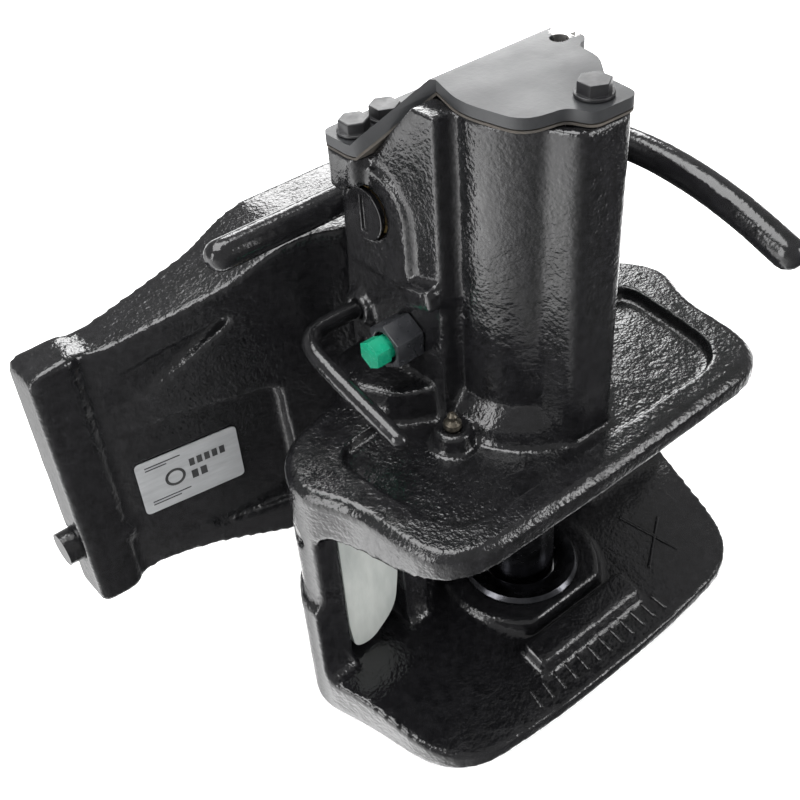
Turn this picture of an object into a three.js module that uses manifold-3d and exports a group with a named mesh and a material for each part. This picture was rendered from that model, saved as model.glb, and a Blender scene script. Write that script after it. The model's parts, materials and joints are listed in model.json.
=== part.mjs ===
// Automatic pin coupling (clevis trailer coupling) on a ladder-frame carriage. Millimetres, +Z up.
// Numbers are written from the coupling pin's axis and the top of the upper jaw plate, and node()
// moves the origin to the middle of the whole, level with the underside of the lower jaw.
// The mouth opens towards -Y; the carriage that slides in the tractor's ladder frame is on +Y.
import * as THREE from "three";
import { mergeVertices } from "three/addons/utils/BufferGeometryUtils.js";
import Module from "manifold-3d";

const wasm = await Module();
wasm.setup();

// ---- driving dimensions -------------------------------------------------------------------
const GAP = 0.35; // play between pieces that touch
const PIN_R = 19; // 38 mm coupling pin
const PIN_TIP = -147;
const PIN_TOP = 40;
const BUSH_R = 23; // outside of the guide bushes
const JAW_BOTTOM = -160;
const JAW_REAR = 62;
const MIDDLE_Y = 41; // half way from the hand lever's end to the swivel nut
const FLOOR = -134; // floor of the mouth at the pin
const ROOF = -26; // roof of the mouth at the pin
const RECESS = -7; // dished top of the upper plate
const TOWER_R = 32;
const TOWER_TOP = 154;
const HOUSING_X = 42; // half width of the lever housing
const HOUSING_REAR = 80;
const SHAFT = { y: 54, z: 94, r: 9 }; // lifting shaft
const BAR = { y: 90, z: 81, r: 8, lug: 10.5 }; // hand lever's pivot line, its radius and its lugs'
const CRANK = { y: 70, z: 32, r: 4.5 }; // release crank rod
const BUTTON = { y: 32, z: 36 }; // indicator
const TRIP = { x: -92, y: 25, z: -38, half: 17 }; // trip lever's pivot
const COVER_T = 5;
const GASKET_T = 1;
const COVER_LIFT = 1.9; // underside of the cover above the casting
const FOLD_Y = 23;
const TAB = { y: 52, z: 122 }; // front edge and height of the housing's rear ledge
const SLOPE = Math.atan2(TOWER_TOP - TAB.z, TAB.y - FOLD_Y); // fall of the cover behind its fold
const SWIVEL = { z: -75, r: 36 }; // axis on which the jaw swivels in the carriage
const CARRIAGE_HALF = 195; // 390 mm ladder frame
const CARRIAGE_FRONT = 88;
const RAIL = { front: 126, rear: 151, top: 36, bottom: -122 };
const LOCK = { y: 139.5, z: -82, r: 9.5, tube: 14, knobX: 135 }; // locking pins and their tube
const SWEEP = 0.26; // how far each wing of the carriage falls back towards its edge
const FLOOR_SWEEP = 0.16; // the same for the floors of the wing's pockets
const POCKET_FLOOR = 101; // where the lower pocket's floor would meet the middle line
const FRONT_BOLT = [6, -32]; // cover bolts, X and Y
const REAR_BOLTS = [[-41, 63], [-23, 64]];
const NIPPLE = { x: -48, y: -3 };
const TYPE_PLATE = { x: 129, z: -59 };
const HUB_REAR = 158; // back of the carriage's swivel hub
const ARM_HALF = 4.5; // half height of the lifting arm
const LIFT_TIP = { y: 15, z: 24, r: 5 }; // end of the lifting arm at rest

// ---- materials ----------------------------------------------------------------------------
const paint = (color, roughness, metalness) =>
  new THREE.MeshStandardMaterial({ color, roughness, metalness });
const castPaint = () => paint(0x17181a, 0.3, 0.1);
const barPaint = () => paint(0x1b1c1e, 0.35, 0.1);
const steel = () => paint(0x8a8d90, 0.35, 0.9);
const zinc = () => paint(0xb9bebf, 0.45, 0.7);

// ---- solids -------------------------------------------------------------------------------
function solid(geometry) {
  const g = geometry.clone();
  g.deleteAttribute("normal");
  g.deleteAttribute("uv");
  const merged = mergeVertices(g, 1e-4);
  return new wasm.Manifold(
    new wasm.Mesh({
      numProp: 3,
      vertProperties: new Float32Array(merged.attributes.position.array),
      triVerts: new Uint32Array(merged.index.array),
    }),
  );
}

function toGeometry(s) {
  const m = s.getMesh();
  const positions = new Float32Array(m.numVert * 3);
  for (let i = 0; i < m.numVert; i++)
    positions.set(m.vertProperties.subarray(i * m.numProp, i * m.numProp + 3), i * 3);
  const g = new THREE.BufferGeometry();
  g.setAttribute("position", new THREE.BufferAttribute(positions, 3));
  g.setIndex(new THREE.BufferAttribute(new Uint32Array(m.triVerts), 1));
  g.computeVertexNormals();
  return g;
}

const root = new THREE.Group();
function node(name, shape, material) {
  const mesh = new THREE.Mesh(toGeometry(shape.translate([0, -MIDDLE_Y, -JAW_BOTTOM])), material);
  mesh.name = name;
  root.add(mesh);
  return mesh;
}

const join = (...parts) => parts.reduce((a, b) => a.add(b));

function box(x0, x1, y0, y1, z0, z1) {
  const g = new THREE.BoxGeometry(x1 - x0, y1 - y0, z1 - z0);
  g.translate((x0 + x1) / 2, (y0 + y1) / 2, (z0 + z1) / 2);
  return solid(g);
}

// A round solid about an axis through (u, v), from a to b along the axis.
function rod(axis, u, v, a, b, r, sides = 32, r2 = r) {
  const g = new THREE.CylinderGeometry(r2, r, b - a, sides);
  g.translate(0, (a + b) / 2, 0);
  if (axis === "z") g.rotateX(Math.PI / 2).translate(u, v, 0);
  if (axis === "x") g.rotateZ(-Math.PI / 2).translate(0, u, v);
  if (axis === "y") g.translate(u, 0, v);
  return solid(g);
}

// A solid of revolution about Z from [radius, z] pairs.
function turned(profile, sides = 32) {
  const g = new THREE.LatheGeometry(profile.map(([r, z]) => new THREE.Vector2(r, z)), sides);
  g.rotateX(Math.PI / 2);
  return solid(g);
}

// An outline in the XY plane, extruded from z0 to z1, with an optional rounded edge.
function plate(shape, z0, z1, bevel = 0, steps = 1) {
  const g = new THREE.ExtrudeGeometry(shape, {
    depth: z1 - z0 - 2 * bevel,
    curveSegments: 6,
    bevelEnabled: bevel > 0,
    bevelThickness: bevel,
    bevelSize: bevel,
    bevelOffset: -bevel,
    bevelSegments: steps,
  });
  g.translate(0, 0, z0 + bevel);
  return solid(g);
}

// An outline in the YZ plane, extruded from x0 to x1.
function profileYZ(shape, x0, x1) {
  const g = new THREE.ExtrudeGeometry(shape, { depth: x1 - x0, bevelEnabled: false, curveSegments: 5 });
  g.rotateX(Math.PI / 2).rotateZ(Math.PI / 2).translate(x0, 0, 0);
  return solid(g);
}

// An outline in the XZ plane, extruded from y0 to y1.
function profileXZ(shape, y0, y1) {
  const g = new THREE.ExtrudeGeometry(shape, { depth: y1 - y0, bevelEnabled: false, curveSegments: 5 });
  g.rotateX(Math.PI / 2).translate(0, y1, 0);
  return solid(g);
}

function polygon(points) {
  return new THREE.Shape(points.map(([x, y]) => new THREE.Vector2(x, y)));
}

// A closed polygon whose corners are rounded by the third number of each point.
function rounded(points) {
  const s = new THREE.Shape();
  const n = points.length;
  points.forEach(([x, y, r = 0], i) => {
    const [px, py] = points[(i + n - 1) % n];
    const [nx, ny] = points[(i + 1) % n];
    const lp = Math.hypot(px - x, py - y);
    const ln = Math.hypot(nx - x, ny - y);
    const cut = Math.min(r, 0.47 * lp, 0.47 * ln);
    const ax = x + ((px - x) / lp) * cut;
    const ay = y + ((py - y) / lp) * cut;
    if (i === 0) s.moveTo(ax, ay);
    else s.lineTo(ax, ay);
    if (r > 0) s.quadraticCurveTo(x, y, x + ((nx - x) / ln) * cut, y + ((ny - y) / ln) * cut);
  });
  s.closePath();
  return s;
}

// Both halves of an outline given on the +X side, from front to back.
const mirrored = (half) => [...half, ...half.map(([x, y, r]) => [-x, y, r]).reverse()];

function tube(points, r, sides = 14, steps = 40, round = false) {
  const path = new THREE.CatmullRomCurve3(points.map((p) => new THREE.Vector3(...p)), false, "centripetal");
  const ring = new THREE.Shape();
  for (let i = 0; i < sides; i++) {
    const a = (i / sides) * 2 * Math.PI;
    ring[i ? "lineTo" : "moveTo"](r * Math.cos(a), r * Math.sin(a));
  }
  ring.closePath();
  const g = new THREE.ExtrudeGeometry(ring, { steps, bevelEnabled: false, extrudePath: path });
  let s = solid(g);
  if (round)
    for (const p of [points[0], points[points.length - 1]])
      s = s.add(solid(new THREE.SphereGeometry(r, sides, 8).translate(...p)));
  return s;
}

function hexBolt(x, y, seat, length) {
  const head = new THREE.CylinderGeometry(7.3, 7.3, 5.5, 6).rotateX(Math.PI / 2).translate(0, 0, 3.6);
  const washer = new THREE.CylinderGeometry(8.2, 8.2, 1.4, 24).rotateX(Math.PI / 2).translate(0, 0, 0.7);
  const shank = new THREE.CylinderGeometry(4, 4, length, 16)
    .rotateX(Math.PI / 2)
    .translate(0, 0, -length / 2 + 0.2);
  return join(solid(head), solid(washer), solid(shank)).translate([x, y, seat]);
}

// ---- jaw casting --------------------------------------------------------------------------
const upperOutline = rounded(
  mirrored([
    [30, -71, 20],
    [109, -69, 44],
    [115, -8, 20],
    [129, 18, 14],
    [114, 46, 15],
    [60, JAW_REAR, 6],
  ]),
);
const lowerOutline = rounded(
  mirrored([
    [40, -77, 40],
    [110, -70, 40],
    [124, -8, 20],
    [133, 18, 14],
    [114, 48, 16],
    [60, JAW_REAR, 6],
  ]),
);
const MOUTH_SIDE_Y = 10;
const mouth = rounded([
  [-110, -13, 0],
  [-60, -14, 10],
  [-20, ROOF, 14],
  [MOUTH_SIDE_Y, ROOF, 12],
  [MOUTH_SIDE_Y, FLOOR, 14],
  [-10, FLOOR, 16],
  [-77, -149, 6],
  [-110, -149, 0],
]);

function wingBoss(y, z, r, height) {
  return rod("x", y, z, -HOUSING_X - height, -HOUSING_X + 2, r, 36, r + 1.5);
}

const housing = profileYZ(
  rounded([
    [8, RECESS - 6, 0],
    [8, TOWER_TOP, 0],
    [FOLD_Y, TOWER_TOP, 0],
    [TAB.y, TAB.z, 0],
    [75, TAB.z, 4],
    [77, 96, 6],
    [HOUSING_REAR, 40, 8],
    [HOUSING_REAR, -20, 0],
    [8, -20, 0],
  ]),
  -HOUSING_X,
  HOUSING_X,
);
const frontRib = plate(
  rounded([
    [-11, -43, 5],
    [18, -44, 6],
    [22, -10, 0],
    [-22, -10, 0],
  ]),
  RECESS - 4,
  TOWER_TOP,
);
const rearEarRib = plate(
  rounded([
    [20, 0, 0],
    [44, 6, 6],
    [45, FOLD_Y - 0.5, 3],
    [20, FOLD_Y - 0.5, 0],
  ]),
  120,
  TOWER_TOP,
);
const collar = turned([[0, RECESS - 4], [43, RECESS - 4], [38, 4], [TOWER_R, 12], [0, 12]], 40);
const trunnion = join(
  rod("y", 0, SWIVEL.z, JAW_REAR - 6, 82, 62, 40, 54),
  rod("y", 0, SWIVEL.z, 60, HUB_REAR + 10, SWIVEL.r, 36),
);
const lugs = [-24, 24].map((x) =>
  join(
    rod("x", BAR.y, BAR.z, x - 7, x + 7, BAR.lug),
    profileYZ(polygon([[70, 60], [BAR.y, BAR.z - BAR.lug], [BAR.y, BAR.z + BAR.lug], [70, 100]]), x - 7, x + 7),
  ),
);

const tripPocket = join(
  box(TRIP.x - TRIP.half - 1.5, TRIP.x + TRIP.half + 1.5, 0, 52, FLOOR, ROOF - 1),
  rod("x", TRIP.y, TRIP.z, TRIP.x - TRIP.half - 1.5, TRIP.x + TRIP.half + 1.5, 16),
);
const jaw = join(
  plate(upperOutline, -80, 0, 4),
  plate(lowerOutline, JAW_BOTTOM, -78, 4),
  box(-60, 60, 20, JAW_REAR, -150, -10),
)
  .subtract(profileYZ(mouth, -150, 150))
  .subtract(rod("z", 0, -30, FLOOR, ROOF, 72, 48))
  .add(rod("z", 0, 0, FLOOR - 8, FLOOR + 4, 46, 40, 44).intersect(box(-60, 60, -37, 60, -200, 0)))
  .add(profileYZ(polygon([[-60, -148], [-40, -148], [-41, -133], [-56, -137]]), -38, 38)) // raised bar
  .subtract(plate(rounded(mirrored([[90, -54, 38], [97, -6, 20], [99, 24, 14], [60, 28, 6]])), RECESS, 10))
  .add(join(housing, frontRib, rearEarRib, collar, rod("z", 0, 0, RECESS - 4, TOWER_TOP, TOWER_R, 40)))
  .add(join(trunnion, ...lugs))
  .add(wingBoss(SHAFT.y - 4, SHAFT.z, 23, 3))
  .add(box(-HOUSING_X - 3, -HOUSING_X + 2, SHAFT.y - 27, SHAFT.y + 19, 62, SHAFT.z))
  .add(wingBoss(CRANK.y, CRANK.z, 9, 4))
  .add(rod("z", NIPPLE.x, NIPPLE.y, RECESS - 2, 3, 11, 28, 9)) // grease nipple boss
  .add(profileYZ(rounded([[6, 64, 2], [26, 58, 2], [26, 70, 3], [8, 75, 3]]), -50, -34)) // stop boss
  .add(plate(rounded([[-70, 46, 7], [-58, 24, 6], [-40, 14, 2], [-40, 72, 2], [-62, 70, 8]]), RECESS - 3, 12))
  .add(plate(rounded([[-51, 53, 6], [-30, 52, 0], [-30, 75, 0], [-51, 75, 6]]), TAB.z - 20, TAB.z)); // bolt ear

const casting = jaw
  .subtract(rod("z", 0, 0, FLOOR - 60, FLOOR + 20, BUSH_R + GAP, 36)) // lower bush seat
  .subtract(rod("z", 0, 0, ROOF - 20, TOWER_TOP + 5, BUSH_R + GAP, 36)) // pin bore
  .subtract(box(-9, 9, -34, 20, 4, TOWER_TOP + 5)) // groove for the lifting arm's end
  .subtract(box(-32, 32, 20, 72, 58, 114)) // mechanism chamber
  .subtract(box(-9, 9, 0, 60, 10, 90))
  .subtract(box(-26, 26, 14, 62, 112, TOWER_TOP + 5).intersect(
    profileYZ(polygon([[14, 110], [14, TOWER_TOP + 5], [48, TOWER_TOP + 5], [48, 110]]), -40, 40),
  ))
  .subtract(rod("x", SHAFT.y, SHAFT.z, -60, 60, 13 + GAP, 32)) // shaft bushes
  .subtract(rod("x", BAR.y, BAR.z, -40, 40, BAR.r + GAP, 32)) // hand lever's bearing
  .subtract(rod("x", CRANK.y, CRANK.z, -60, -24, CRANK.r + GAP, 24))
  .subtract(rod("x", BUTTON.y, BUTTON.z, -60, -12, 8 + GAP, 28))
  .subtract(tripPocket)
  .subtract(rod("x", TRIP.y, TRIP.z, -150, -60, 5 + GAP, 20)) // trip lever's pivot pin
  .subtract(rod("z", NIPPLE.x, NIPPLE.y, -12, 10, 3 + GAP, 20))
  .subtract(rod("z", ...FRONT_BOLT, TOWER_TOP - 22, TOWER_TOP + 5, 4 + GAP, 20))
  .subtract(rod("z", 35, 15, TOWER_TOP - 18, TOWER_TOP + 5, 3.6, 20))
  .subtract(join(...REAR_BOLTS.map(([x, y]) => rod("z", x, y, TAB.z - 18, TAB.z + 4, 4 + GAP, 20))));
node("jaw_casting", casting, castPaint());

// ---- cover --------------------------------------------------------------------------------
function coverSheet(thickness, lift, grow) {
  const flat = plate(
    rounded([
      [-27, FOLD_Y + 0.5, 0],
      [-34 - grow, 2, 10],
      [-28, -28 - grow, 14],
      [-9, -32, 4],
      [-5, -43 - grow, 5],
      [19 + grow, -44 - grow, 6],
      [21, -24, 4],
      [33 + grow, -10, 10],
      [35, 4, 3],
      [44 + grow, 7, 5],
      [45 + grow, FOLD_Y + 0.5, 4],
    ]),
    0,
    thickness,
  );
  const rise = thickness / Math.cos(SLOPE);
  const drop = TOWER_TOP - TAB.z;
  const strip = profileYZ(
    polygon([
      [FOLD_Y, 0],
      [TAB.y, -drop],
      [90, -drop],
      [90, thickness - drop],
      [TAB.y + rise - thickness, thickness - drop],
      [FOLD_Y + rise - thickness, thickness],
      [FOLD_Y, thickness],
    ]),
    -60,
    60,
  );
  const planOutline = rounded([
    [-27, FOLD_Y, 0],
    [42, FOLD_Y, 0],
    [40, 75, 6],
    [-51, 75, 6],
    [-51, 53, 6],
    [-43, 44, 6],
  ]);
  let s = flat
    .add(strip.intersect(plate(planOutline, -60, 20)))
    .translate([0, 0, TOWER_TOP + lift]);
  s = s.subtract(rod("z", ...FRONT_BOLT, TOWER_TOP - 5, TOWER_TOP + 20, 4 + GAP, 20));
  s = s.subtract(rod("z", 35, 15, TOWER_TOP - 5, TOWER_TOP + 20, 4.2, 20));
  for (const [x, y] of REAR_BOLTS) s = s.subtract(rod("z", x, y, TAB.z - 5, TAB.z + 20, 4 + GAP, 20));
  return s;
}
const coverNotch = box(41, 60, 11.5, 14.5, TOWER_TOP, TOWER_TOP + 20);
node(
  "cover_plate",
  coverSheet(COVER_T, COVER_LIFT, 0).subtract(coverNotch),
  paint(0x2a2b2d, 0.5, 0.2),
);
node(
  "cover_gasket",
  coverSheet(GASKET_T, 0.3, 0).subtract(coverNotch).subtract(box(-24, 24, -20, 48, 100, 200)),
  paint(0x3a3733, 0.9, 0),
);
const coverTop = TOWER_TOP + COVER_LIFT + COVER_T + 0.3;
node("cover_bolt_front", hexBolt(...FRONT_BOLT, coverTop, 20), steel());
REAR_BOLTS.forEach(([x, y], i) =>
  node(`cover_bolt_rear_${i + 1}`, hexBolt(x, y, coverTop + TAB.z - TOWER_TOP, 16), steel()),
);

// ---- coupling pin and its guides ----------------------------------------------------------
const pin = turned([
  [0, PIN_TIP],
  [13, PIN_TIP],
  [PIN_R - GAP, PIN_TIP + 9],
  [PIN_R - GAP, PIN_TOP - 3],
  [PIN_R - 3, PIN_TOP],
  [0, PIN_TOP],
])
  .subtract(box(-7, 7, -30, 30, -6, PIN_TOP + 5)) // fork for the lifting arm
  .subtract(rod("x", 0, 35.5, -30, 30, 4 + GAP, 20));
node("coupling_pin", pin, paint(0x1c1d20, 0.15, 0.8));
node("lift_pin", rod("x", 0, 35.5, -16, 16, 4, 20), steel());
function bush(z0, z1, r) {
  return turned([[r, z0], [BUSH_R, z0], [BUSH_R, z1], [r, z1], [r, z0]]);
}
node("upper_guide_bush", bush(ROOF, 0, PIN_R + GAP), paint(0x6d7074, 0.4, 0.9));
node("lower_guide_bush", bush(-158, FLOOR + 2, PIN_R + GAP), paint(0x6d7074, 0.4, 0.9));
node(
  "wear_ring",
  turned([
    [PIN_R + 2, FLOOR + 4.3],
    [33, FLOOR + 4.3],
    [31, FLOOR + 7.5],
    [PIN_R + 2, FLOOR + 7.5],
    [PIN_R + 2, FLOOR + 4.3],
  ]),
  paint(0x2b2c2e, 0.35, 0.6),
);

// ---- lifting shaft ------------------------------------------------------------------------
const shaft = rod("x", SHAFT.y, SHAFT.z, -HOUSING_X - 1, 48, SHAFT.r - GAP, 28);
node("lift_shaft", shaft, steel());
for (const [side, a, b] of [["left", -HOUSING_X + 3, -33], ["right", 33, HOUSING_X]]) {
  const ring = rod("x", SHAFT.y, SHAFT.z, a, b, 13, 32).subtract(
    rod("x", SHAFT.y, SHAFT.z, a - 1, b + 1, SHAFT.r, 32),
  );
  node(`shaft_bush_${side}`, ring, paint(0x9a7a3c, 0.4, 0.9));
}
const cap = rod("x", SHAFT.y, SHAFT.z, -HOUSING_X - 5.2, -HOUSING_X - 1.4, 13, 36, 12).subtract(
  box(-60, -HOUSING_X - 3.6, SHAFT.y - 2, SHAFT.y + 2, SHAFT.z - 9, SHAFT.z + 9),
);
node("shaft_cap", cap, barPaint());
const collarRight = rod("x", SHAFT.y, SHAFT.z, HOUSING_X + 0.6, 47, 14, 32).subtract(
  rod("x", SHAFT.y, SHAFT.z, 40, 50, SHAFT.r, 32),
);
node("shaft_collar", collarRight, steel());

const armLine = Math.atan2(LIFT_TIP.z - SHAFT.z, LIFT_TIP.y - SHAFT.y);
const armSide = { y: -Math.sin(armLine) * ARM_HALF, z: Math.cos(armLine) * ARM_HALF };
const arm = profileYZ(
  polygon([
    [SHAFT.y + armSide.y, SHAFT.z + armSide.z],
    [LIFT_TIP.y + armSide.y, LIFT_TIP.z + armSide.z],
    [LIFT_TIP.y - armSide.y, LIFT_TIP.z - armSide.z],
    [SHAFT.y - armSide.y, SHAFT.z - armSide.z],
  ]),
  -5.5,
  5.5,
);
const liftArm = join(
  rod("x", SHAFT.y, SHAFT.z, -12, 8, 15, 32),
  rod("x", LIFT_TIP.y, LIFT_TIP.z, -5.5, 5.5, LIFT_TIP.r, 20),
  arm,
).subtract(rod("x", SHAFT.y, SHAFT.z, -20, 20, SHAFT.r, 28));
node("lifting_arm", liftArm, paint(0x55585c, 0.5, 0.8));
const coil = [];
const TURNS = 4;
for (let i = 0; i <= TURNS * 8; i++) {
  const a = (i / 8) * 2 * Math.PI;
  coil.push([11 + (i / 8) * 4, SHAFT.y + 12.5 * Math.cos(a), SHAFT.z + 12.5 * Math.sin(a)]);
}
node("closing_spring", tube(coil, 1.5, 6, TURNS * 10), paint(0x3b3d40, 0.35, 0.8));

// ---- hand lever ---------------------------------------------------------------------------
const lever = tube(
  [
    [-103, BAR.y, BAR.z],
    [-60, BAR.y, BAR.z],
    [-20, BAR.y, BAR.z],
    [20, BAR.y, BAR.z],
    [52, BAR.y, BAR.z],
    [66, BAR.y - 4, BAR.z + 1],
    [74, BAR.y - 16, BAR.z + 4],
    [77, 60, 89],
    [78, 30, 95],
    [77, 0, 98],
    [75, -30, 97],
    [73, -60, 92],
    [71, -88, 84],
  ],
  BAR.r - GAP,
  12,
  34,
  true,
);
node("hand_lever", lever, barPaint());
const leverClip = rod("x", BAR.y, BAR.z, -16.6, -12, 12, 28).subtract(
  rod("x", BAR.y, BAR.z, -20, 0, BAR.r, 28),
);
node("lever_stop_ring", leverClip, steel());

// ---- release crank and indicator ----------------------------------------------------------
const crankRod = tube(
  [
    [-26, CRANK.y, CRANK.z],
    [-50, CRANK.y, CRANK.z],
    [-66, CRANK.y, CRANK.z],
    [-75, CRANK.y - 3, CRANK.z - 0.5],
    [-80, CRANK.y - 12, CRANK.z - 2],
    [-81, CRANK.y - 30, CRANK.z - 6],
    [-81, CRANK.y - 52, CRANK.z - 11],
    [-81, CRANK.y - 76, CRANK.z - 16],
  ],
  CRANK.r,
  12,
  26,
);
node("release_crank", crankRod, barPaint());
const gland = rod("x", BUTTON.y, BUTTON.z, -HOUSING_X - 16, -HOUSING_X - GAP, 12, 6)
  .add(rod("x", BUTTON.y, BUTTON.z, -HOUSING_X - 1, -24, 8, 28))
  .subtract(rod("x", BUTTON.y, BUTTON.z, -80, 0, 4 + GAP, 20))
  .subtract(rod("x", BUTTON.y, BUTTON.z, -80, -HOUSING_X - 9, 7.9, 28))
  .subtract(rod("x", BUTTON.y, BUTTON.z, -80, -HOUSING_X - 1, 6.4, 24));
node("indicator_gland", gland, paint(0x202123, 0.4, 0.4));
const button = rod("x", BUTTON.y, BUTTON.z, -HOUSING_X - 25, -HOUSING_X - 17, 7.4, 6)
  .add(rod("x", BUTTON.y, BUTTON.z, -HOUSING_X - 18, -HOUSING_X - 9, 6, 24));
node("indicator_button", button, paint(0x12805a, 0.35, 0));
const stem = rod("x", BUTTON.y, BUTTON.z, -HOUSING_X - 8.6, -22, 4, 20);
node("indicator_stem", stem, steel());

// ---- trip lever ---------------------------------------------------------------------------
function tripPlate(y0, y1) {
  const half = TRIP.half;
  const outline = rounded([
    [TRIP.x - half, -42, 3],
    [TRIP.x + half, -42, 3],
    [TRIP.x + half, -90, 10],
    [TRIP.x + half - 4, -118, 16],
    [TRIP.x - 4, FLOOR + 2.5, 8],
    [TRIP.x - half + 2, FLOOR + 5, 6],
    [TRIP.x - half, -110, 6],
  ]);
  return profileXZ(outline, y0, y1)
    .add(
      rod("x", TRIP.y, TRIP.z, TRIP.x - half, TRIP.x + half, 10.5, 28).intersect(
        box(-150, -50, y0, y1, -80, 0),
      ),
    )
    .subtract(rod("x", TRIP.y, TRIP.z, -150, -50, 5 + GAP, 20));
}
node("trip_plate_front", tripPlate(14, 24.8), zinc());
node("trip_plate_rear", tripPlate(25.2, 34.5), zinc());
node("trip_pivot_pin", rod("x", TRIP.y, TRIP.z, -122, -62, 5, 20), steel());

node(
  "grease_nipple",
  turned(
    [[0, -11], [3, -11], [3, 3.4], [4.4, 3.4], [4.4, 6], [2.2, 7.5], [2.6, 10], [1.2, 11.5], [0, 11.5]],
    20,
  ).translate([NIPPLE.x, NIPPLE.y, 0]),
  paint(0xb8a878, 0.35, 0.9),
);

// ---- carriage -----------------------------------------------------------------------------
const carriageFace = rounded(
  mirrored([
    [80, -130, 14],
    [126, -117, 14],
    [160, -116, 8],
    [176, RAIL.bottom - 2, 5],
    [CARRIAGE_HALF, RAIL.bottom, 6],
    [CARRIAGE_HALF, RAIL.top, 7],
    [172, RAIL.top + 2, 5],
    [158, 34, 8],
    [126, 41, 14],
    [92, 49, 12],
    [62, 64, 14],
  ]),
);
const sweepY = (x) => CARRIAGE_FRONT + 5 + (Math.abs(x) - 30) * SWEEP;
const carriagePlan = rounded(
  mirrored([
    [30, CARRIAGE_FRONT, 6],
    [44, sweepY(44), 6],
    [168, sweepY(168), 4],
    [172, RAIL.front, 3],
    [CARRIAGE_HALF, RAIL.front, 3],
    [CARRIAGE_HALF, RAIL.rear, 3],
    [160, RAIL.rear, 6],
  ]),
);
// A pocket in a wing's front face, from an outline in (distance from the middle, height).
// Its floor starts at setBack on the middle line and falls back less steeply than the face.
function wingPocket(points, setBack, side) {
  const angle = Math.atan(FLOOR_SWEEP);
  const shape = rounded(points.map(([x, z, r]) => [x / Math.cos(angle), z, r]));
  const s = profileXZ(shape, -40, 0)
    .rotate([0, 0, (angle * 180) / Math.PI])
    .translate([0, setBack, 0]);
  return side > 0 ? s : s.mirror([1, 0, 0]);
}
const lowerPocket = [[74, -22, 6], [164, -15, 6], [167, -103, 6], [70, -105, 6]];
const upperPocket = [[84, 34, 6], [158, 16, 6], [162, -4, 4], [144, -2, 6]];
let carriage = profileXZ(carriageFace, 60, 200)
  .intersect(plate(carriagePlan, -220, 100))
  .add(rod("x", LOCK.y, LOCK.z, -188, 188, LOCK.tube, 36))
  .add(rod("y", 0, SWIVEL.z, 120, HUB_REAR, 60, 40));
for (const side of [1, -1]) {
  const x0 = side > 0 ? 70 : -150;
  const slotX0 = side * LOCK.knobX - 23;
  carriage = carriage
    .subtract(wingPocket(lowerPocket, POCKET_FLOOR, side))
    .subtract(wingPocket(upperPocket, POCKET_FLOOR + 1, side))
    .subtract(box(x0, x0 + 80, 138, 210, -58, 18)) // rear pocket
    .subtract(box(slotX0, slotX0 + 46, LOCK.y, 230, LOCK.z - 5, LOCK.z + 5)); // slot for the knob
}
carriage = carriage
  .subtract(rod("y", 0, SWIVEL.z, 40, 210, SWIVEL.r + 6 + GAP, 40))
  .subtract(rod("y", 0, SWIVEL.z, HUB_REAR, 260, 64, 40))
  .subtract(rod("x", LOCK.y, LOCK.z, -200, -66, LOCK.r + GAP, 32))
  .subtract(rod("x", LOCK.y, LOCK.z, 66, 200, LOCK.r + GAP, 32));
node("carriage", carriage, castPaint());

function swivelRing(y0, y1, r0, r1) {
  return rod("y", 0, SWIVEL.z, y0, y1, r1, 32).subtract(rod("y", 0, SWIVEL.z, y0 - 1, y1 + 1, r0, 32));
}
node("swivel_bush", swivelRing(92, HUB_REAR - 1, SWIVEL.r + GAP, SWIVEL.r + 6), paint(0x8d7a4a, 0.45, 0.8));
node("brake_washer", swivelRing(HUB_REAR + 0.4, HUB_REAR + 4, SWIVEL.r + GAP, 56), paint(0x5a5c5f, 0.5, 0.8));
const nutRecess = rod("y", 0, SWIVEL.z, HUB_REAR, HUB_REAR + 10.4, SWIVEL.r + GAP, 36);
node("swivel_nut", swivelRing(HUB_REAR + 4.4, HUB_REAR + 20, SWIVEL.r - 12, 50).subtract(nutRecess), steel());

for (const [side, s] of [["left", -1], ["right", 1]]) {
  const [a, b] = s < 0 ? [-203, -100] : [100, 203];
  const body = rod("x", LOCK.y, LOCK.z, a, b, LOCK.r, 32).subtract(
    rod("y", s * LOCK.knobX, LOCK.z, LOCK.y, LOCK.y + 30, 4 + GAP, 20).add(
      rod("x", LOCK.y, LOCK.z, s < 0 ? -120 : 99, s < 0 ? -99 : 120, 6.8, 24), // room for the spring
    ),
  );
  node(`locking_pin_${side}`, body, steel());
  const knob = join(
    rod("y", s * LOCK.knobX, LOCK.z, LOCK.y + 1, LOCK.y + 30, 4, 20),
    rod("y", s * LOCK.knobX, LOCK.z, LOCK.y + 20, LOCK.y + 34, 8, 24, 7),
  );
  node(`locking_knob_${side}`, knob, barPaint());
  const spring = [];
  for (let i = 0; i <= 32; i++) {
    const t = (i / 8) * 2 * Math.PI;
    spring.push([s * (69 + (i / 32) * 30), LOCK.y + 5 * Math.cos(t), LOCK.z + 5 * Math.sin(t)]);
  }
  node(`locking_spring_${side}`, tube(spring, 1.2, 6, 40), paint(0x3b3d40, 0.35, 0.8));
}

// ---- type plate ---------------------------------------------------------------------------
const plateAngle = Math.atan(FLOOR_SWEEP);
const typePlate = plate(rounded([[-29, -18, 3], [29, -18, 3], [29, 18, 3], [-29, 18, 3]]), 0, 0.8)
  .rotate([90, 0, 0])
  .rotate([0, 0, (-plateAngle * 180) / Math.PI])
  .translate([-TYPE_PLATE.x, POCKET_FLOOR + TYPE_PLATE.x * FLOOR_SWEEP - 0.4, TYPE_PLATE.z]);
node("type_plate", typePlate, paint(0xb4b6b8, 0.4, 0.6));

export default root;
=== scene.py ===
import json
import math

import bmesh
import bpy
from mathutils import Matrix, Vector, noise


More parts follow.
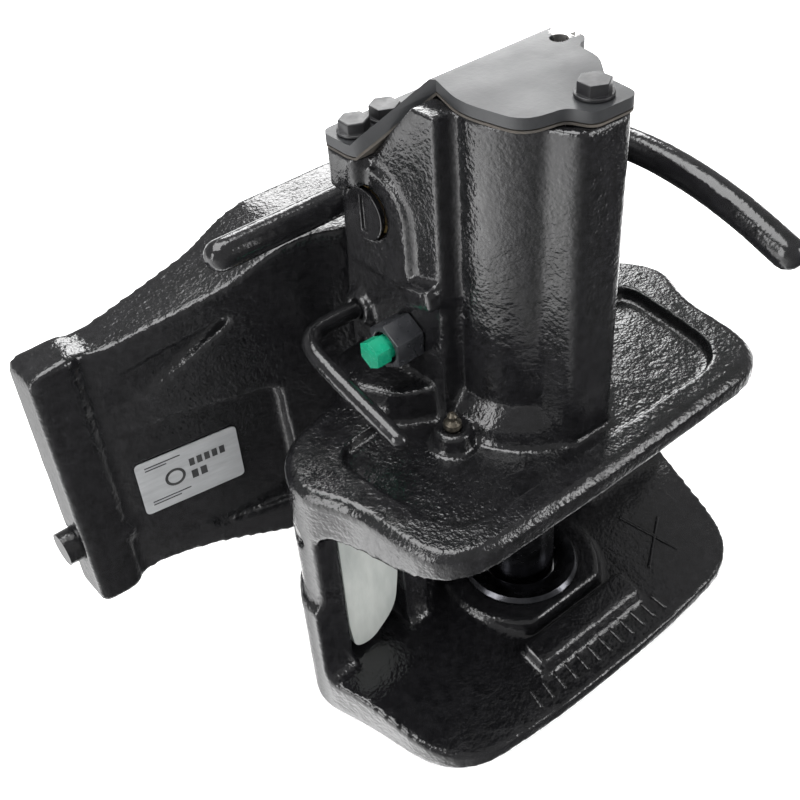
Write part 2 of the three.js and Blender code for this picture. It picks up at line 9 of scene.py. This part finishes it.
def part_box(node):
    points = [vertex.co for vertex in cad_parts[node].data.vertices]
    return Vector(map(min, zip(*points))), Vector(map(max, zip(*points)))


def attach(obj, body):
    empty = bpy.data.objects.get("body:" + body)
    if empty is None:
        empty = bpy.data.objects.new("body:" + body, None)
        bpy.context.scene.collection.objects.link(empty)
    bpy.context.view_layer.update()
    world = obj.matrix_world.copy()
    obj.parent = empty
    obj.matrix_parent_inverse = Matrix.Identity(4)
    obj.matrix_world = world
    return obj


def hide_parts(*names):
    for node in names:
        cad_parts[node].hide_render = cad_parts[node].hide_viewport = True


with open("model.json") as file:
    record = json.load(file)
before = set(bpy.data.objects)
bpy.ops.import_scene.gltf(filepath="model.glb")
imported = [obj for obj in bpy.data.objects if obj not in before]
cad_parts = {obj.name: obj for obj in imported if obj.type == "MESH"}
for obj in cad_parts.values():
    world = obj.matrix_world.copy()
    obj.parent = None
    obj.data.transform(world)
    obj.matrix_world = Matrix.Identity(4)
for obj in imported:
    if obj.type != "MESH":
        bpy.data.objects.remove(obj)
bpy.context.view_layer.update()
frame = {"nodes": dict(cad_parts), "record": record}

NODES = frame["nodes"]
BODY_OF = {n: b for b, ns in frame["record"]["behaviour"]["bodies"].items() for n in ns}
SLOT_OF = {s["node"]: s["material_slot"] for s in frame["record"]["subparts"]}
LIFT = 0.160  # height of the upper jaw plate's top above the origin
MIDDLE_Y = 0.041  # how far the coupling pin is in front of the origin
MERGE = 1e-6  # corners closer than this are one corner
SCENE = bpy.context.scene


# ---- materials ------------------------------------------------------------------------------
class Shader:
    """A material built from nodes, with coordinates in metres of the row frame."""

    def __init__(self, name):
        self.material = bpy.data.materials.new(name)
        self.material.use_nodes = True
        self.tree = self.material.node_tree
        self.bsdf = self.tree.nodes["Principled BSDF"]
        self.coords = self.tree.nodes.new("ShaderNodeTexCoord").outputs["Object"]

    def link(self, a, b):
        self.tree.links.new(a, b)

    def set(self, **values):
        for key, value in values.items():
            self.bsdf.inputs[key.replace("_", " ")].default_value = value
        return self

    def noise(self, scale, detail=3.0, rough=0.5, stretch=(1, 1, 1)):
        mapping = self.tree.nodes.new("ShaderNodeMapping")
        mapping.inputs["Scale"].default_value = stretch
        self.link(self.coords, mapping.inputs["Vector"])
        n = self.tree.nodes.new("ShaderNodeTexNoise")
        n.inputs["Scale"].default_value = scale
        n.inputs["Detail"].default_value = detail
        n.inputs["Roughness"].default_value = rough
        self.link(mapping.outputs[0], n.inputs["Vector"])
        return n.outputs["Fac"]

    def ramp(self, value, low, high, a, b):
        n = self.tree.nodes.new("ShaderNodeMapRange")
        for key, v in (("From Min", low), ("From Max", high), ("To Min", a), ("To Max", b)):
            n.inputs[key].default_value = v
        self.link(value, n.inputs["Value"])
        return n.outputs[0]

    def mix(self, factor, a, b):
        n = self.tree.nodes.new("ShaderNodeMix")
        n.data_type = "RGBA"
        n.inputs["A"].default_value = (*a, 1)
        n.inputs["B"].default_value = (*b, 1)
        self.link(factor, n.inputs["Factor"])
        return n.outputs["Result"]

    def math(self, kind, a, b):
        n = self.tree.nodes.new("ShaderNodeMath")
        n.operation = kind
        for i, v in enumerate((a, b)):
            if isinstance(v, (int, float)):
                n.inputs[i].default_value = v
            else:
                self.link(v, n.inputs[i])
        return n.outputs[0]

    def bump(self, *heights):
        """Each height is (value, strength, distance in metres); they stack."""
        last = None
        for value, strength, distance in heights:
            n = self.tree.nodes.new("ShaderNodeBump")
            n.inputs["Strength"].default_value = strength
            n.inputs["Distance"].default_value = distance
            self.link(value, n.inputs["Height"])
            if last:
                self.link(last, n.inputs["Normal"])
            last = n.outputs[0]
        self.link(last, self.bsdf.inputs["Normal"])

    def to(self, value, name):
        self.link(value, self.bsdf.inputs[name])


def cast_paint():
    """Thick black gloss over a sand casting: grain, orange peel and dull patches."""
    s = Shader("cast_paint").set(Specular_IOR_Level=0.62)
    patches = s.noise(22, 2)
    mottle = s.ramp(s.noise(240, 4), 0.3, 0.7, 0, 1)
    s.to(s.mix(mottle, (0.004, 0.004, 0.0045), (0.010, 0.010, 0.011)), "Base Color")
    s.to(s.ramp(patches, 0.35, 0.65, 0.10, 0.18), "Roughness")
    grain = s.noise(560, 2, 0.5)
    peel = s.noise(170, 2)
    rough_here = s.math("MULTIPLY", grain, s.ramp(patches, 0.38, 0.6, 0.45, 1.0))
    s.bump((peel, 0.8, 0.0005), (rough_here, 1.0, 0.00045))
    return s.material


def bar_paint():
    """The same gloss, on smooth drawn bar."""
    s = Shader("bar_paint").set(Specular_IOR_Level=0.6)
    mottle = s.ramp(s.noise(150, 3), 0.3, 0.7, 0, 1)
    s.to(s.mix(mottle, (0.005, 0.005, 0.0055), (0.011, 0.011, 0.012)), "Base Color")
    s.to(s.ramp(s.noise(60, 3), 0.3, 0.7, 0.10, 0.2), "Roughness")
    s.bump((s.noise(90, 2), 0.8, 0.0006), (s.noise(420, 2), 0.8, 0.00025))
    return s.material


def cover_paint():
    """Satin paint on sheet steel, rubbed through to bright metal at the free corner of the ear."""
    s = Shader("cover_paint").set(Specular_IOR_Level=0.5)
    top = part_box("cover_plate")[1]
    corner = Vector((top.x - 0.002, 0.018 - MIDDLE_Y, top.z))
    distance = s.tree.nodes.new("ShaderNodeVectorMath")
    distance.operation = "DISTANCE"
    s.link(s.coords, distance.inputs[0])
    distance.inputs[1].default_value = corner
    near = s.ramp(distance.outputs["Value"], 0.003, 0.011, 1.0, 0.0)
    ragged = s.ramp(s.noise(700, 4), 0.3, 0.7, 0.6, 1.5)
    worn = s.ramp(s.math("MULTIPLY", near, ragged), 0.45, 0.6, 0, 1)
    s.to(s.mix(worn, (0.022, 0.023, 0.025), (0.62, 0.61, 0.59)), "Base Color")
    s.to(worn, "Metallic")
    s.to(s.ramp(s.noise(30, 4, 0.6), 0.3, 0.7, 0.36, 0.5), "Roughness")
    s.bump((s.noise(500, 2), 0.12, 0.0005))
    return s.material


def metal(name, low, high, rough, scale=120, metallic=1.0, grain=0.15, stretch=(1, 1, 1)):
    s = Shader(name).set(Metallic=metallic)
    s.to(s.mix(s.ramp(s.noise(scale, 4, 0.6, stretch), 0.3, 0.7, 0, 1), low, high), "Base Color")
    s.to(s.ramp(s.noise(scale * 2.3, 3), 0.3, 0.7, rough - 0.08, rough + 0.08), "Roughness")
    s.bump((s.noise(scale * 5, 3, 0.6, stretch), grain, 0.0005))
    return s.material


def plastic(name, low, high, rough):
    s = Shader(name)
    s.to(s.mix(s.ramp(s.noise(90, 3), 0.3, 0.7, 0, 1), low, high), "Base Color")
    s.to(s.ramp(s.noise(200, 2), 0.3, 0.7, rough - 0.06, rough + 0.06), "Roughness")
    s.bump((s.noise(600, 2), 0.1, 0.0004))
    return s.material


MATERIAL = {
    "cast_paint": cast_paint(),
    "bar_paint": bar_paint(),
    "cover_paint": cover_paint(),
    "gasket_paper": plastic("gasket_paper", (0.035, 0.032, 0.028), (0.07, 0.06, 0.05), 0.85),
    "bolt_paint": plastic("bolt_paint", (0.008, 0.008, 0.009), (0.020, 0.020, 0.022), 0.42),
    "hardened_steel": metal("hardened_steel", (0.04, 0.042, 0.046), (0.10, 0.10, 0.11), 0.22, 80),
    "machined_steel": metal("machined_steel", (0.20, 0.20, 0.21), (0.34, 0.34, 0.34), 0.38, 160),
    "bearing_bronze": metal("bearing_bronze", (0.42, 0.28, 0.10), (0.56, 0.40, 0.18), 0.35),
    "spring_steel": metal("spring_steel", (0.08, 0.08, 0.085), (0.2, 0.2, 0.21), 0.35),
    "gland_black": plastic("gland_black", (0.014, 0.015, 0.017), (0.035, 0.036, 0.04), 0.3),
    "green_plastic": plastic("green_plastic", (0.004, 0.19, 0.105), (0.008, 0.27, 0.15), 0.28),
    "zinc_plated": metal(
        "zinc_plated", (0.30, 0.32, 0.31), (0.58, 0.60, 0.57), 0.48, 34, 0.3, 0.3, stretch=(1, 1, 0.35)
    ),
    "nipple_brass": metal("nipple_brass", (0.05, 0.047, 0.04), (0.16, 0.14, 0.11), 0.3, 200, 0.8),
    "label_metal": metal(
        "label_metal", (0.46, 0.47, 0.48), (0.56, 0.57, 0.58), 0.42, 60, 0.55, 0.05, stretch=(1, 1, 6)
    ),
    "label_ink": plastic("label_ink", (0.02, 0.02, 0.022), (0.05, 0.05, 0.05), 0.5),
}


# ---- pieces ---------------------------------------------------------------------------------
def finish_piece(obj, body, material, slot, *replaced):
    """Paint the piece, put it on its body, and hide the nodes it stands in for."""
    obj.data.materials.clear()
    obj.data.materials.append(MATERIAL[material])
    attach(obj, body)
    if replaced:
        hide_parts(*replaced)


def new_object(name, mesh):
    obj = bpy.data.objects.new(name, mesh)
    SCENE.collection.objects.link(obj)
    return obj


def applied(obj):
    """The object's mesh with its modifiers applied."""
    bpy.context.view_layer.update()
    evaluated = obj.evaluated_get(bpy.context.evaluated_depsgraph_get())
    mesh = bpy.data.meshes.new_from_object(evaluated)
    obj.modifiers.clear()
    obj.data = mesh
    return mesh


def shade(mesh, angle=math.radians(20)):
    """Smooth shading, with edges sharper than angle kept sharp."""
    bm = bmesh.new()
    bm.from_mesh(mesh)
    bmesh.ops.remove_doubles(bm, verts=bm.verts, dist=MERGE)
    for f in bm.faces:
        f.smooth = True
    for e in bm.edges:
        e.smooth = len(e.link_faces) == 2 and e.calc_face_angle(0) < angle
    bm.to_mesh(mesh)
    bm.free()


def copy_of(node, name):
    """A copy of the node's mesh, with the triangles of each flat face joined again."""
    mesh = NODES[node].data.copy()
    bm = bmesh.new()
    bm.from_mesh(mesh)
    bmesh.ops.remove_doubles(bm, verts=bm.verts, dist=MERGE)
    flat = math.radians(0.5)
    bmesh.ops.dissolve_limit(bm, angle_limit=flat, verts=bm.verts, edges=bm.edges)
    bm.to_mesh(mesh)
    bm.free()
    return new_object(name, mesh)


def detail(node, bevel):
    """A machined or pressed piece: the node's shape with its edges broken."""
    obj = copy_of(node, node + "_finish")
    if bevel:
        m = obj.modifiers.new("edge", "BEVEL")
        m.width = bevel
        m.segments = 2
        m.limit_method = "ANGLE"
        m.angle_limit = math.radians(40)
        m.use_clamp_overlap = True
        applied(obj)
    shade(obj.data)
    finish_piece(obj, BODY_OF[node], SLOT_OF[node], SLOT_OF[node], node)


WAVES_PER_METRE = 70.0  # the slow unevenness of a casting's skin
WAVE_HEIGHT = 0.00016
PITS_PER_METRE = 260.0  # its sand grain
PIT_HEIGHT = 0.00008
SKIN_DROP = 0.00012  # keeps the skin from standing proud
PIT_SHIFT = Vector((7, 3, 5))


def casting(node, voxel, rounds):
    """A sand casting: every edge and inner corner rounded, with a slightly uneven skin."""
    obj = copy_of(node, node + "_skin")
    remesh = obj.modifiers.new("remesh", "REMESH")
    remesh.mode = "VOXEL"
    remesh.voxel_size = voxel
    smooth = obj.modifiers.new("smooth", "SMOOTH")
    smooth.factor = 0.5
    smooth.iterations = rounds
    mesh = applied(obj)
    lo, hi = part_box(node)
    normals = [v.normal.copy() for v in mesh.vertices]
    for v, n in zip(mesh.vertices, normals):
        wave = noise.noise(v.co * WAVES_PER_METRE) * WAVE_HEIGHT
        pit = noise.noise(v.co * PITS_PER_METRE + PIT_SHIFT) * PIT_HEIGHT
        co = v.co + n * (wave + pit - SKIN_DROP)
        v.co = Vector(min(max(c, a), b) for c, a, b in zip(co, lo, hi))
    for p in mesh.polygons:
        p.use_smooth = True
    finish_piece(obj, BODY_OF[node], SLOT_OF[node], SLOT_OF[node], node)


def smooth_line(points, steps):
    """A Catmull-Rom curve through the points."""
    pts = [Vector(p) for p in points]
    ext = [pts[0] * 2 - pts[1], *pts, pts[-1] * 2 - pts[-2]]
    line = []
    for i in range(1, len(ext) - 2):
        a, b, c, d = ext[i - 1 : i + 3]
        square = 2 * a - 5 * b + 4 * c - d
        cube = 3 * b - a - 3 * c + d
        for k in range(steps):
            t = k / steps
            line.append(0.5 * (2 * b + (c - a) * t + square * t * t + cube * t**3))
    return [*line, pts[-1]]


def dome(tip, before, radius):
    """Rings that round off a bar's end, from the bar to the tip, as centres and radii."""
    ahead = (tip - before).normalized()
    return [(tip + ahead * radius * math.sin(a), radius * math.cos(a)) for a in (0.4, 0.8, 1.15, 1.45)]


def tube(name, points, radius, body, material, slot, *replaced, sides=28, steps=14):
    """A bent round bar through the points, with domed ends."""
    line = smooth_line(points, steps)
    start = dome(line[0], line[1], radius)[::-1]
    end = dome(line[-1], line[-2], radius)
    radii = [r for _, r in start] + [radius] * len(line) + [r for _, r in end]
    line = [c for c, _ in start] + line + [c for c, _ in end]
    bm = bmesh.new()
    rings = []
    side = Vector((0, 0.0001, 1))
    for i, c in enumerate(line):
        ahead = (line[min(i + 1, len(line) - 1)] - line[max(i - 1, 0)]).normalized()
        side = (side - ahead * side.dot(ahead)).normalized()
        other = ahead.cross(side)
        rings.append(
            [
                bm.verts.new(c + (side * math.cos(a) + other * math.sin(a)) * radii[i])
                for a in (j / sides * math.tau for j in range(sides))
            ]
        )
    for r, q in zip(rings, rings[1:]):
        for j in range(sides):
            bm.faces.new((r[j], r[(j + 1) % sides], q[(j + 1) % sides], q[j]))
    bm.faces.new(list(reversed(rings[0])))
    bm.faces.new(rings[-1])
    bmesh.ops.recalc_face_normals(bm, faces=bm.faces)
    mesh = bpy.data.meshes.new(name)
    bm.to_mesh(mesh)
    bm.free()
    shade(mesh, math.radians(50))
    finish_piece(new_object(name, mesh), body, material, slot, *replaced)


def millimetres(points):
    """Points in millimetres from the pin's axis and the upper jaw plate's top, as metres from the origin."""
    return [(x / 1000, y / 1000 - MIDDLE_Y, z / 1000 + LIFT) for x, y, z in points]


casting("jaw_casting", 0.0016, 5)
casting("carriage", 0.0018, 4)

for name, bevel in {
    "cover_plate": 0.0011,
    "cover_gasket": 0,
    "cover_bolt_front": 0.0007,
    "cover_bolt_rear_1": 0.0007,
    "cover_bolt_rear_2": 0.0007,
    "coupling_pin": 0.0015,
    "lift_pin": 0.0005,
    "upper_guide_bush": 0.0008,
    "lower_guide_bush": 0.0008,
    "wear_ring": 0.0006,
    "lift_shaft": 0.0006,
    "shaft_bush_left": 0.0005,
    "shaft_bush_right": 0.0005,
    "shaft_cap": 0.0008,
    "shaft_collar": 0.0008,
    "lifting_arm": 0.0008,
    "lever_stop_ring": 0.0005,
    "indicator_gland": 0.0006,
    "indicator_button": 0.0007,
    "indicator_stem": 0.0003,
    "trip_plate_front": 0.0014,
    "trip_plate_rear": 0.0014,
    "trip_pivot_pin": 0.0006,
    "grease_nipple": 0.0002,
    "swivel_bush": 0.0006,
    "brake_washer": 0.0006,
    "swivel_nut": 0.0012,
    "locking_pin_left": 0.0012,
    "locking_pin_right": 0.0012,
    "locking_knob_left": 0.0009,
    "locking_knob_right": 0.0009,
    "type_plate": 0.0001,
    "closing_spring": 0,
    "locking_spring_left": 0,
    "locking_spring_right": 0,
}.items():
    detail(name, bevel)

LEVER_PATH = [
    (-103, 90, 81), (-60, 90, 81), (-20, 90, 81), (20, 90, 81), (52, 90, 81), (66, 86, 82), (74, 74, 85),
    (77, 60, 89), (78, 30, 95), (77, 0, 98), (75, -30, 97), (73, -60, 92), (71, -88, 84),
]
CRANK_PATH = [
    (-28, 70, 32), (-50, 70, 32), (-66, 70, 32), (-75, 67, 31.5),
    (-80, 58, 30), (-81, 40, 26), (-81, 18, 21), (-81, -4, 16),
]
for name, node, path, radius in (
    ("hand_lever_bar", "hand_lever", LEVER_PATH, 0.00765),
    ("release_crank_rod", "release_crank", CRANK_PATH, 0.0045),
):
    tube(name, millimetres(path), radius, BODY_OF[node], "bar_paint", SLOT_OF[node], node)


# ---- raised and printed marks ---------------------------------------------------------------
def lip_z(y):
    """Height of the lower jaw's sloping floor in front of the pin, both in millimetres."""
    slope = 15 / 67
    return -134 - (-10 - y) * slope


def cast_rib(name, a, b):
    """A low raised rib cast on the lower jaw between two points in plan, in millimetres."""
    middle = ((a[0] + b[0]) / 2, (a[1] + b[1]) / 2)
    points = [(x, y, lip_z(y) + 0.1) for x, y in (a, middle, b)]
    tube(name, millimetres(points), 0.0011, "jaw", "cast_paint", "cast_paint", sides=12, steps=4)


LIP_BARS = 12
cast_rib("cross_mark_1", (69, -14), (80, -47))
cast_rib("cross_mark_2", (87, -27), (58, -46))
for i in range(LIP_BARS):
    cast_rib(f"lip_bar_{i + 1}", (-50 + i * 8.6, -60), (-51.5 + i * 8.8, -69))


INK = 0.12  # thickness of the printed marks, in millimetres


def printed_block(bm, to_world, u0, u1, w0, w1):
    outline = ((u0, w0), (u1, w0), (u1, w1), (u0, w1))
    v = [bm.verts.new(to_world(u, w, n)) for n in (0, INK) for u, w in outline]
    for f in ((3, 2, 1, 0), (4, 5, 6, 7), (0, 1, 5, 4), (1, 2, 6, 5), (2, 3, 7, 6), (3, 0, 4, 7)):
        bm.faces.new([v[i] for i in f])


def label_marks():
    """Plain printed shapes on the type plate: a ring, blocks and fine rules, in millimetres."""
    turn = math.atan(0.16)  # the carriage wing's slope in plan
    lo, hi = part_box("type_plate")
    centre = (lo + hi) / 2
    along = Vector((math.cos(turn), -math.sin(turn), 0))
    out = Vector((-math.sin(turn), -math.cos(turn), 0))

    def place(u, w, n):
        return centre + along * (u / 1000) + Vector((0, 0, w / 1000)) + out * (0.0004 + n / 1000)

    bm = bmesh.new()
    for u in (0, 4.4, 8.8, 13.2, 17.6):
        printed_block(bm, place, u, u + 3, 3.5, 8.5)
    for u in (0, 5.2):
        printed_block(bm, place, u, u + 3.6, -5.5, 0)
    left = -24
    for w, reach in ((13.5, 20), (11.6, 12), (-11, 22), (-13, 16)):
        printed_block(bm, place, left, left + reach, w, w + 0.7)
    sides = 32
    ring_u, ring_w = -9, 0.5
    inner, outer = 4.2, 5.8
    angles = [j / sides * math.tau for j in range(sides)]
    rings = []
    for radius, n in ((inner, 0), (outer, 0), (outer, INK), (inner, INK)):
        around = [(ring_u + radius * math.cos(a), ring_w + radius * math.sin(a)) for a in angles]
        rings.append([bm.verts.new(place(u, w, n)) for u, w in around])
    for q, p in zip(rings, rings[1:] + rings[:1]):
        for j in range(sides):
            bm.faces.new((q[j], q[(j + 1) % sides], p[(j + 1) % sides], p[j]))
    bmesh.ops.recalc_face_normals(bm, faces=bm.faces)
    mesh = bpy.data.meshes.new("type_plate_marks")
    bm.to_mesh(mesh)
    bm.free()
    finish_piece(new_object("type_plate_marks", mesh), "carriage", "label_ink", "label_metal")


label_marks()


# ---- floor, light and camera ----------------------------------------------------------------
def floor():
    """A wide pale floor that curves up into a wall all round."""
    sides = 96
    profile = [(3.0, 0.0), (5.0, 0.0), (5.8, 0.2), (6.5, 0.7), (6.9, 1.5), (7.0, 3.0), (7.0, 7.0)]
    angles = [j / sides * math.tau for j in range(sides)]
    bm = bmesh.new()
    rings = []
    for radius, height in profile:
        around = [(radius * math.cos(a), radius * math.sin(a), height) for a in angles]
        rings.append([bm.verts.new(point) for point in around])
    bm.faces.new(rings[0])
    for q, r in zip(rings, rings[1:]):
        for j in range(sides):
            bm.faces.new((q[j], q[(j + 1) % sides], r[(j + 1) % sides], r[j])).smooth = True
    mesh = bpy.data.meshes.new("floor")
    bm.to_mesh(mesh)
    bm.free()
    obj = new_object("floor", mesh)
    s = Shader("floor").set(Base_Color=(0.9, 0.9, 0.9, 1), Specular_IOR_Level=0.1)
    s.set(Emission_Color=(1, 1, 1, 1), Emission_Strength=0.5)
    s.to(s.ramp(s.noise(3, 2), 0.3, 0.7, 0.74, 0.8), "Roughness")
    mesh.materials.append(s.material)
    obj.visible_glossy = False


def softbox(name, at, look, size, power):
    """A rectangular light at one place, turned to another."""
    data = bpy.data.lights.new(name, "AREA")
    data.shape = "RECTANGLE"
    data.size, data.size_y = size
    data.energy = power
    obj = bpy.data.objects.new(name, data)
    SCENE.collection.objects.link(obj)
    obj.location = at
    obj.rotation_euler = (Vector(look) - Vector(at)).to_track_quat("-Z", "Y").to_euler()


# How bright the room is below the horizon, by azimuth as a share of a full turn from -X.
ROOM = {
    0.0: 2.6, 0.04: 1.6, 0.12: 0.7, 0.2: 0.3, 0.33: 0.08, 0.42: 0.12,
    0.5: 1.6, 0.55: 3.6, 0.67: 2.6, 0.75: 0.6, 0.84: 1.6, 0.91: 3.8, 0.97: 2.6,
}
ROOM_PEAK = 4.0  # a band of this brightness is white on the ramp


def studio_room():
    """Dim above the horizon and banded below it, which the glossy paint mirrors."""
    world = bpy.data.worlds.new("studio")
    SCENE.world = world
    world.use_nodes = True
    tree = world.node_tree
    axes = tree.nodes.new("ShaderNodeSeparateXYZ")
    tree.links.new(tree.nodes.new("ShaderNodeTexCoord").outputs["Generated"], axes.inputs[0])
    azimuth = tree.nodes.new("ShaderNodeMath")
    azimuth.operation = "ARCTAN2"
    tree.links.new(axes.outputs["Y"], azimuth.inputs[0])
    tree.links.new(axes.outputs["X"], azimuth.inputs[1])
    share = tree.nodes.new("ShaderNodeMapRange")
    share.inputs["From Min"].default_value = -math.pi
    share.inputs["From Max"].default_value = math.pi
    tree.links.new(azimuth.outputs[0], share.inputs["Value"])
    bands = tree.nodes.new("ShaderNodeValToRGB")
    tree.links.new(share.outputs[0], bands.inputs["Fac"])
    ramp = bands.color_ramp
    ramp.elements.remove(ramp.elements[1])
    for i, (position, value) in enumerate(ROOM.items()):
        element = ramp.elements[0] if i == 0 else ramp.elements.new(position)
        element.position = position
        element.color = (*[value / ROOM_PEAK] * 3, 1)
    below = tree.nodes.new("ShaderNodeMapRange")
    below.inputs["From Min"].default_value = 0.03
    below.inputs["From Max"].default_value = -0.12
    tree.links.new(axes.outputs["Z"], below.inputs["Value"])
    mix = tree.nodes.new("ShaderNodeMix")
    mix.data_type = "RGBA"
    mix.inputs["A"].default_value = (0.09, 0.09, 0.09, 1)
    tree.links.new(below.outputs[0], mix.inputs["Factor"])
    tree.links.new(bands.outputs[0], mix.inputs["B"])
    background = tree.nodes["Background"]
    tree.links.new(mix.outputs["Result"], background.inputs["Color"])
    background.inputs["Strength"].default_value = ROOM_PEAK


floor()
studio_room()
LIT_POINT = (0, 0.0, 0.14)
softbox("softbox_top", (-0.2, 0.3, 1.5), LIT_POINT, (1.3, 1.0), 24)
softbox("softbox_left", (-1.5, 0.0, 0.7), LIT_POINT, (0.6, 1.1), 12)
softbox("softbox_right", (0.9, -1.3, 0.6), LIT_POINT, (0.4, 1.1), 9)
softbox("softbox_back", (0.9, 1.2, 0.95), LIT_POINT, (0.9, 0.6), 14)
SCENE.view_settings.view_transform = "Standard"

camera_data = bpy.data.cameras.new("camera")
camera_data.lens = 51.4
camera_data.sensor_width = 36.0
camera_data.clip_start = 0.01
camera = bpy.data.objects.new("camera", camera_data)
SCENE.collection.objects.link(camera)
right = Vector((0.76764, -0.63793, -0.06142))
up = Vector((0.45141, 0.47017, 0.75840))
back = -Vector((0.45493, 0.60990, -0.64889))
stand = Matrix.Translation((-0.3056, -0.3088 - MIDDLE_Y, 0.3624 + LIFT))
camera.matrix_world = stand @ Matrix((right, up, back)).transposed().to_4x4()
SCENE.camera = camera
